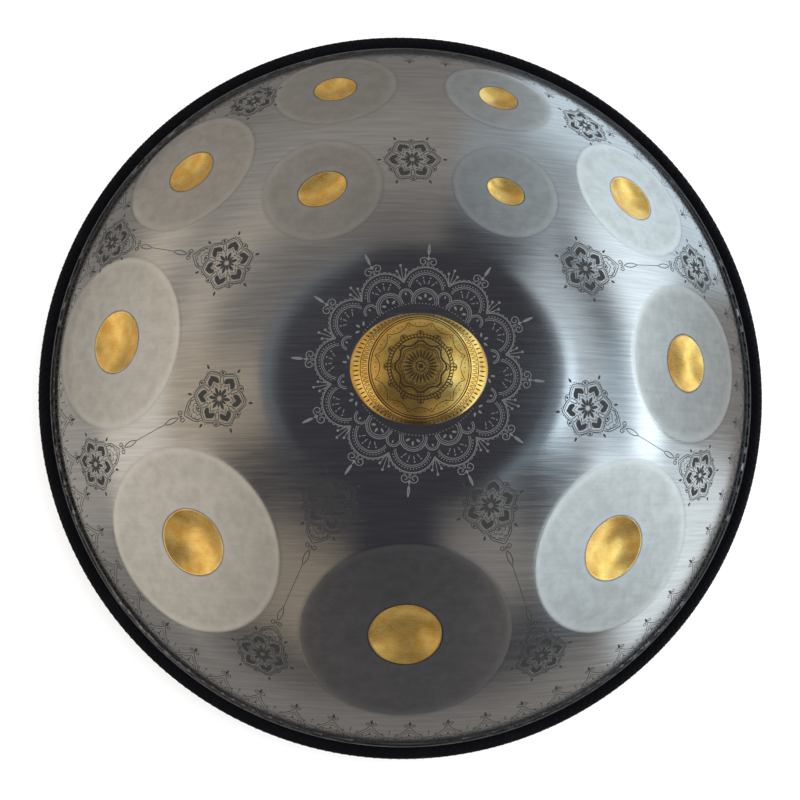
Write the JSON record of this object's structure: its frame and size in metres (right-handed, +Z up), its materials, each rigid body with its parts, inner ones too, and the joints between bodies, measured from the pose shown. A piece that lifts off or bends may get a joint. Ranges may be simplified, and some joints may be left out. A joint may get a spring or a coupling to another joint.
{
  "type": "handpan",
  "caption": "Lens-shaped steel hand drum: two glued domed shells, a raised gilded centre boss, a ring of flattened tone fields with dimples, a round port below and a rope rim.",
  "frame": {"origin": "on the axis, level with the landing ring around the port that the instrument rests on", "axes": "+Z up through the ding boss, -Y towards the lowest note, the one nearest the player, +X to the player's right"},
  "size_m": [0.5599, 0.56, 0.2615],
  "materials": {
    "brushed_steel": "satin brushed stainless steel",
    "satin_steel": "satin stainless steel",
    "gilding": "satin gold-coloured layer",
    "adhesive": "cured dark structural glue",
    "rope_fibre": "matt synthetic fibre",
    "rope_braid": "black plaited synthetic cord"
  },
  "bodies": {
    "root": {"top_shell": "brushed_steel", "bottom_shell": "satin_steel", "dimple_gilding": "gilding", "ding_gilding": "gilding", "seam_adhesive": "adhesive", "rim_adhesive": "adhesive", "rope_core": "rope_fibre", "rope_sheath": "rope_braid"}
  },
  "joints": []
}
